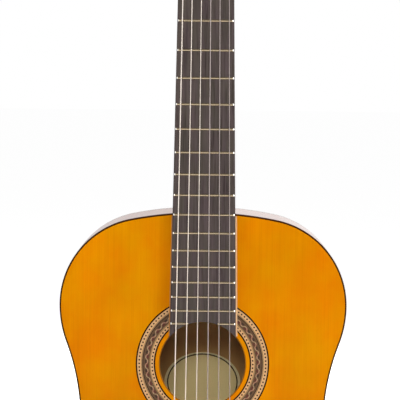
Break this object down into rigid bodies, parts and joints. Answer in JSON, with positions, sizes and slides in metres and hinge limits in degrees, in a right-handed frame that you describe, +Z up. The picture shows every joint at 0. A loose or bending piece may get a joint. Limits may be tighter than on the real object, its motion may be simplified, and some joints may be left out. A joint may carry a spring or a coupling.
{
  "type": "classical guitar",
  "caption": "Classical guitar with a flat spruce top, inlaid rosette, tie bridge, slotted head and worm-geared tuning machines that turn the string rollers.",
  "frame": {"origin": "on the centre line, where the front of the nut meets the top plane of the neck, level with the head's shoulders that a wall hanger's yoke carries", "axes": "+Z up the neck to the head, -Y the playing side, +X the treble side; the soundboard's outer face lies in the plane y = 0"},
  "size_m": [0.37, 0.1137, 1.0023],
  "materials": {
    "soundboard": "gloss lacquer",
    "rosette_line": "gloss lacquer",
    "rosette_band": "gloss lacquer",
    "rosette_mosaic": "gloss lacquer",
    "body_wood": "gloss lacquer",
    "binding": "gloss lacquer",
    "inner_wood": "bare",
    "label": "matt paper",
    "neck_wood": "satin lacquer",
    "veneer": "gloss lacquer",
    "fretboard": "oiled",
    "fret_wire": "polished",
    "bone": "polished",
    "bridge_wood": "oiled",
    "tie_trim": "polished",
    "machine_plate": "plated",
    "machine_screw": "plated",
    "wound_string": "silver-plated winding",
    "nylon_string": "clear nylon",
    "roller": "polished",
    "gear": "plain",
    "worm": "plated",
    "button": "pearl"
  },
  "bodies": {
    "guitar": {"soundboard": "soundboard", "rosette_lines": "rosette_line", "rosette_dotted": "rosette_band", "rosette_mosaic": "rosette_mosaic", "back_plate": "body_wood", "bass_side": "body_wood", "treble_side": "body_wood", "top_binding": "binding", "back_binding": "binding", "top_linings": "inner_wood", "back_linings": "inner_wood", "end_block": "inner_wood", "harmonic_bars": "inner_wood", "fan_braces": "inner_wood", "back_braces": "inner_wood", "label": "label", "neck": "neck_wood", "heel_cap": "veneer", "headstock": "neck_wood", "head_veneer": "veneer", "fretboard": "fretboard", "frets": "fret_wire", "nut": "bone", "bridge": "bridge_wood", "tie_trim": "tie_trim", "saddle": "bone", "bass_plate": "machine_plate", "treble_plate": "machine_plate", "plate_screws": "machine_screw", "bass_strings": "wound_string", "treble_strings": "nylon_string"},
    "post_1": {"roller_1": "roller", "gear_1": "gear"},
    "knob_1": {"worm_1": "worm", "button_1": "button"},
    "post_2": {"roller_2": "roller", "gear_2": "gear"},
    "knob_2": {"worm_2": "worm", "button_2": "button"},
    "post_3": {"roller_3": "roller", "gear_3": "gear"},
    "knob_3": {"worm_3": "worm", "button_3": "button"},
    "post_4": {"roller_4": "roller", "gear_4": "gear"},
    "knob_4": {"worm_4": "worm", "button_4": "button"},
    "post_5": {"roller_5": "roller", "gear_5": "gear"},
    "knob_5": {"worm_5": "worm", "button_5": "button"},
    "post_6": {"roller_6": "roller", "gear_6": "gear"},
    "knob_6": {"worm_6": "worm", "button_6": "button"}
  },
  "joints": [
    {"name": "knob_1_turn", "type": "hinge", "parent": "guitar", "child": "knob_1", "pos_m": [0.04084, 0.02352, 0.06758], "axis": [0, 0.9781, -0.2079], "continuous": true},
    {"name": "post_1_turn", "type": "hinge", "parent": "guitar", "child": "post_1", "pos_m": [0.02, 0.02184, 0.05965], "axis": [1, 0, 0], "continuous": true},
    {"name": "knob_2_turn", "type": "hinge", "parent": "guitar", "child": "knob_2", "pos_m": [0.04084, 0.0308, 0.10181], "axis": [0, 0.9781, -0.2079], "continuous": true},
    {"name": "post_2_turn", "type": "hinge", "parent": "guitar", "child": "post_2", "pos_m": [0.02, 0.02912, 0.09389], "axis": [1, 0, 0], "continuous": true},
    {"name": "knob_3_turn", "type": "hinge", "parent": "guitar", "child": "knob_3", "pos_m": [0.04084, 0.03808, 0.13605], "axis": [0, 0.9781, -0.2079], "continuous": true},
    {"name": "post_3_turn", "type": "hinge", "parent": "guitar", "child": "post_3", "pos_m": [0.02, 0.03639, 0.12812], "axis": [1, 0, 0], "continuous": true},
    {"name": "knob_4_turn", "type": "hinge", "parent": "guitar", "child": "knob_4", "pos_m": [-0.04084, 0.03808, 0.13605], "axis": [0, 0.9781, -0.2079], "continuous": true},
    {"name": "post_4_turn", "type": "hinge", "parent": "guitar", "child": "post_4", "pos_m": [-0.02, 0.03639, 0.12812], "axis": [1, 0, 0], "continuous": true},
    {"name": "knob_5_turn", "type": "hinge", "parent": "guitar", "child": "knob_5", "pos_m": [-0.04084, 0.0308, 0.10181], "axis": [0, 0.9781, -0.2079], "continuous": true},
    {"name": "post_5_turn", "type": "hinge", "parent": "guitar", "child": "post_5", "pos_m": [-0.02, 0.02912, 0.09389], "axis": [1, 0, 0], "continuous": true},
    {"name": "knob_6_turn", "type": "hinge", "parent": "guitar", "child": "knob_6", "pos_m": [-0.04084, 0.02352, 0.06758], "axis": [0, 0.9781, -0.2079], "continuous": true},
    {"name": "post_6_turn", "type": "hinge", "parent": "guitar", "child": "post_6", "pos_m": [-0.02, 0.02184, 0.05965], "axis": [1, 0, 0], "continuous": true}
  ],
  "couplings": [
    {"joint": "post_1_turn", "follows": "knob_1_turn", "ratio": 0.071429},
    {"joint": "post_2_turn", "follows": "knob_2_turn", "ratio": 0.071429},
    {"joint": "post_3_turn", "follows": "knob_3_turn", "ratio": 0.071429},
    {"joint": "post_4_turn", "follows": "knob_4_turn", "ratio": -0.071429},
    {"joint": "post_5_turn", "follows": "knob_5_turn", "ratio": -0.071429},
    {"joint": "post_6_turn", "follows": "knob_6_turn", "ratio": -0.071429}
  ]
}
